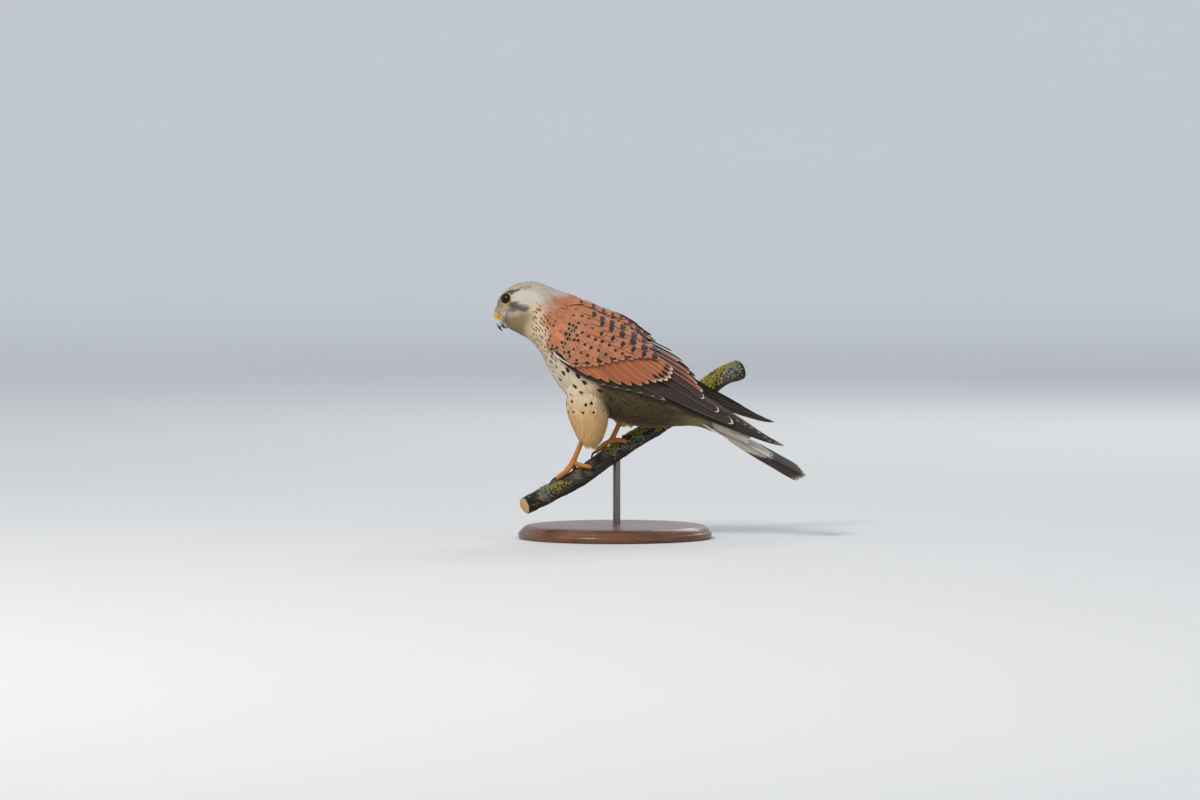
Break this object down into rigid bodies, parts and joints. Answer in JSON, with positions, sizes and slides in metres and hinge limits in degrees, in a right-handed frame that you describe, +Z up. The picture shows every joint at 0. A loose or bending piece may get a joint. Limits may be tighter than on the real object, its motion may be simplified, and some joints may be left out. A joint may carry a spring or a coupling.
{
  "type": "common kestrel on a cut branch and display stand",
  "caption": "Still life-size model of a male common kestrel leaning forward on a short cut branch, held over a round base by a thin rod.",
  "frame": {"origin": "centre of the display base's underside", "axes": "+X from the bill to the tail, -Y the bird's left side, +Z up, away from the base's underside"},
  "size_m": [0.2895, 0.1931, 0.2386],
  "materials": {
    "head_plumage": "matte grey feathers with fine streaks",
    "breast_plumage": "matte buff feathers with dark drop-shaped spots",
    "wing_plumage": "rufous feathers with small black spots, dark grey-brown flight feathers",
    "tail_plumage": "grey feathers with a black band and white tips",
    "thigh_plumage": "soft warm buff feathers",
    "bill_horn": "smooth blue-grey horn, yellow at the cere, dark at the tip",
    "eye": "polished, near black",
    "leg_skin": "orange-yellow scaly skin",
    "claw_horn": "smooth black horn",
    "bark": "rough dark bark with grey and yellow-green lichen",
    "stand_metal": "satin dark metal",
    "stand_wood": "satin dark hardwood"
  },
  "bodies": {
    "root": {"head": "head_plumage", "neck": "head_plumage", "torso": "breast_plumage", "wing_left": "wing_plumage", "wing_right": "wing_plumage", "tail": "tail_plumage", "thigh_left": "thigh_plumage", "thigh_right": "thigh_plumage", "bill_upper": "bill_horn", "bill_lower": "bill_horn", "eye_left": "eye", "eye_right": "eye", "leg_left": "leg_skin", "leg_right": "leg_skin", "foot_left": "leg_skin", "foot_right": "leg_skin", "perch": "bark", "stand_rod": "stand_metal", "stand_base": "stand_wood", "claw_left_1": "claw_horn", "claw_left_2": "claw_horn", "claw_left_3": "claw_horn", "claw_left_4": "claw_horn", "claw_right_1": "claw_horn", "claw_right_2": "claw_horn", "claw_right_3": "claw_horn", "claw_right_4": "claw_horn"}
  },
  "joints": []
}
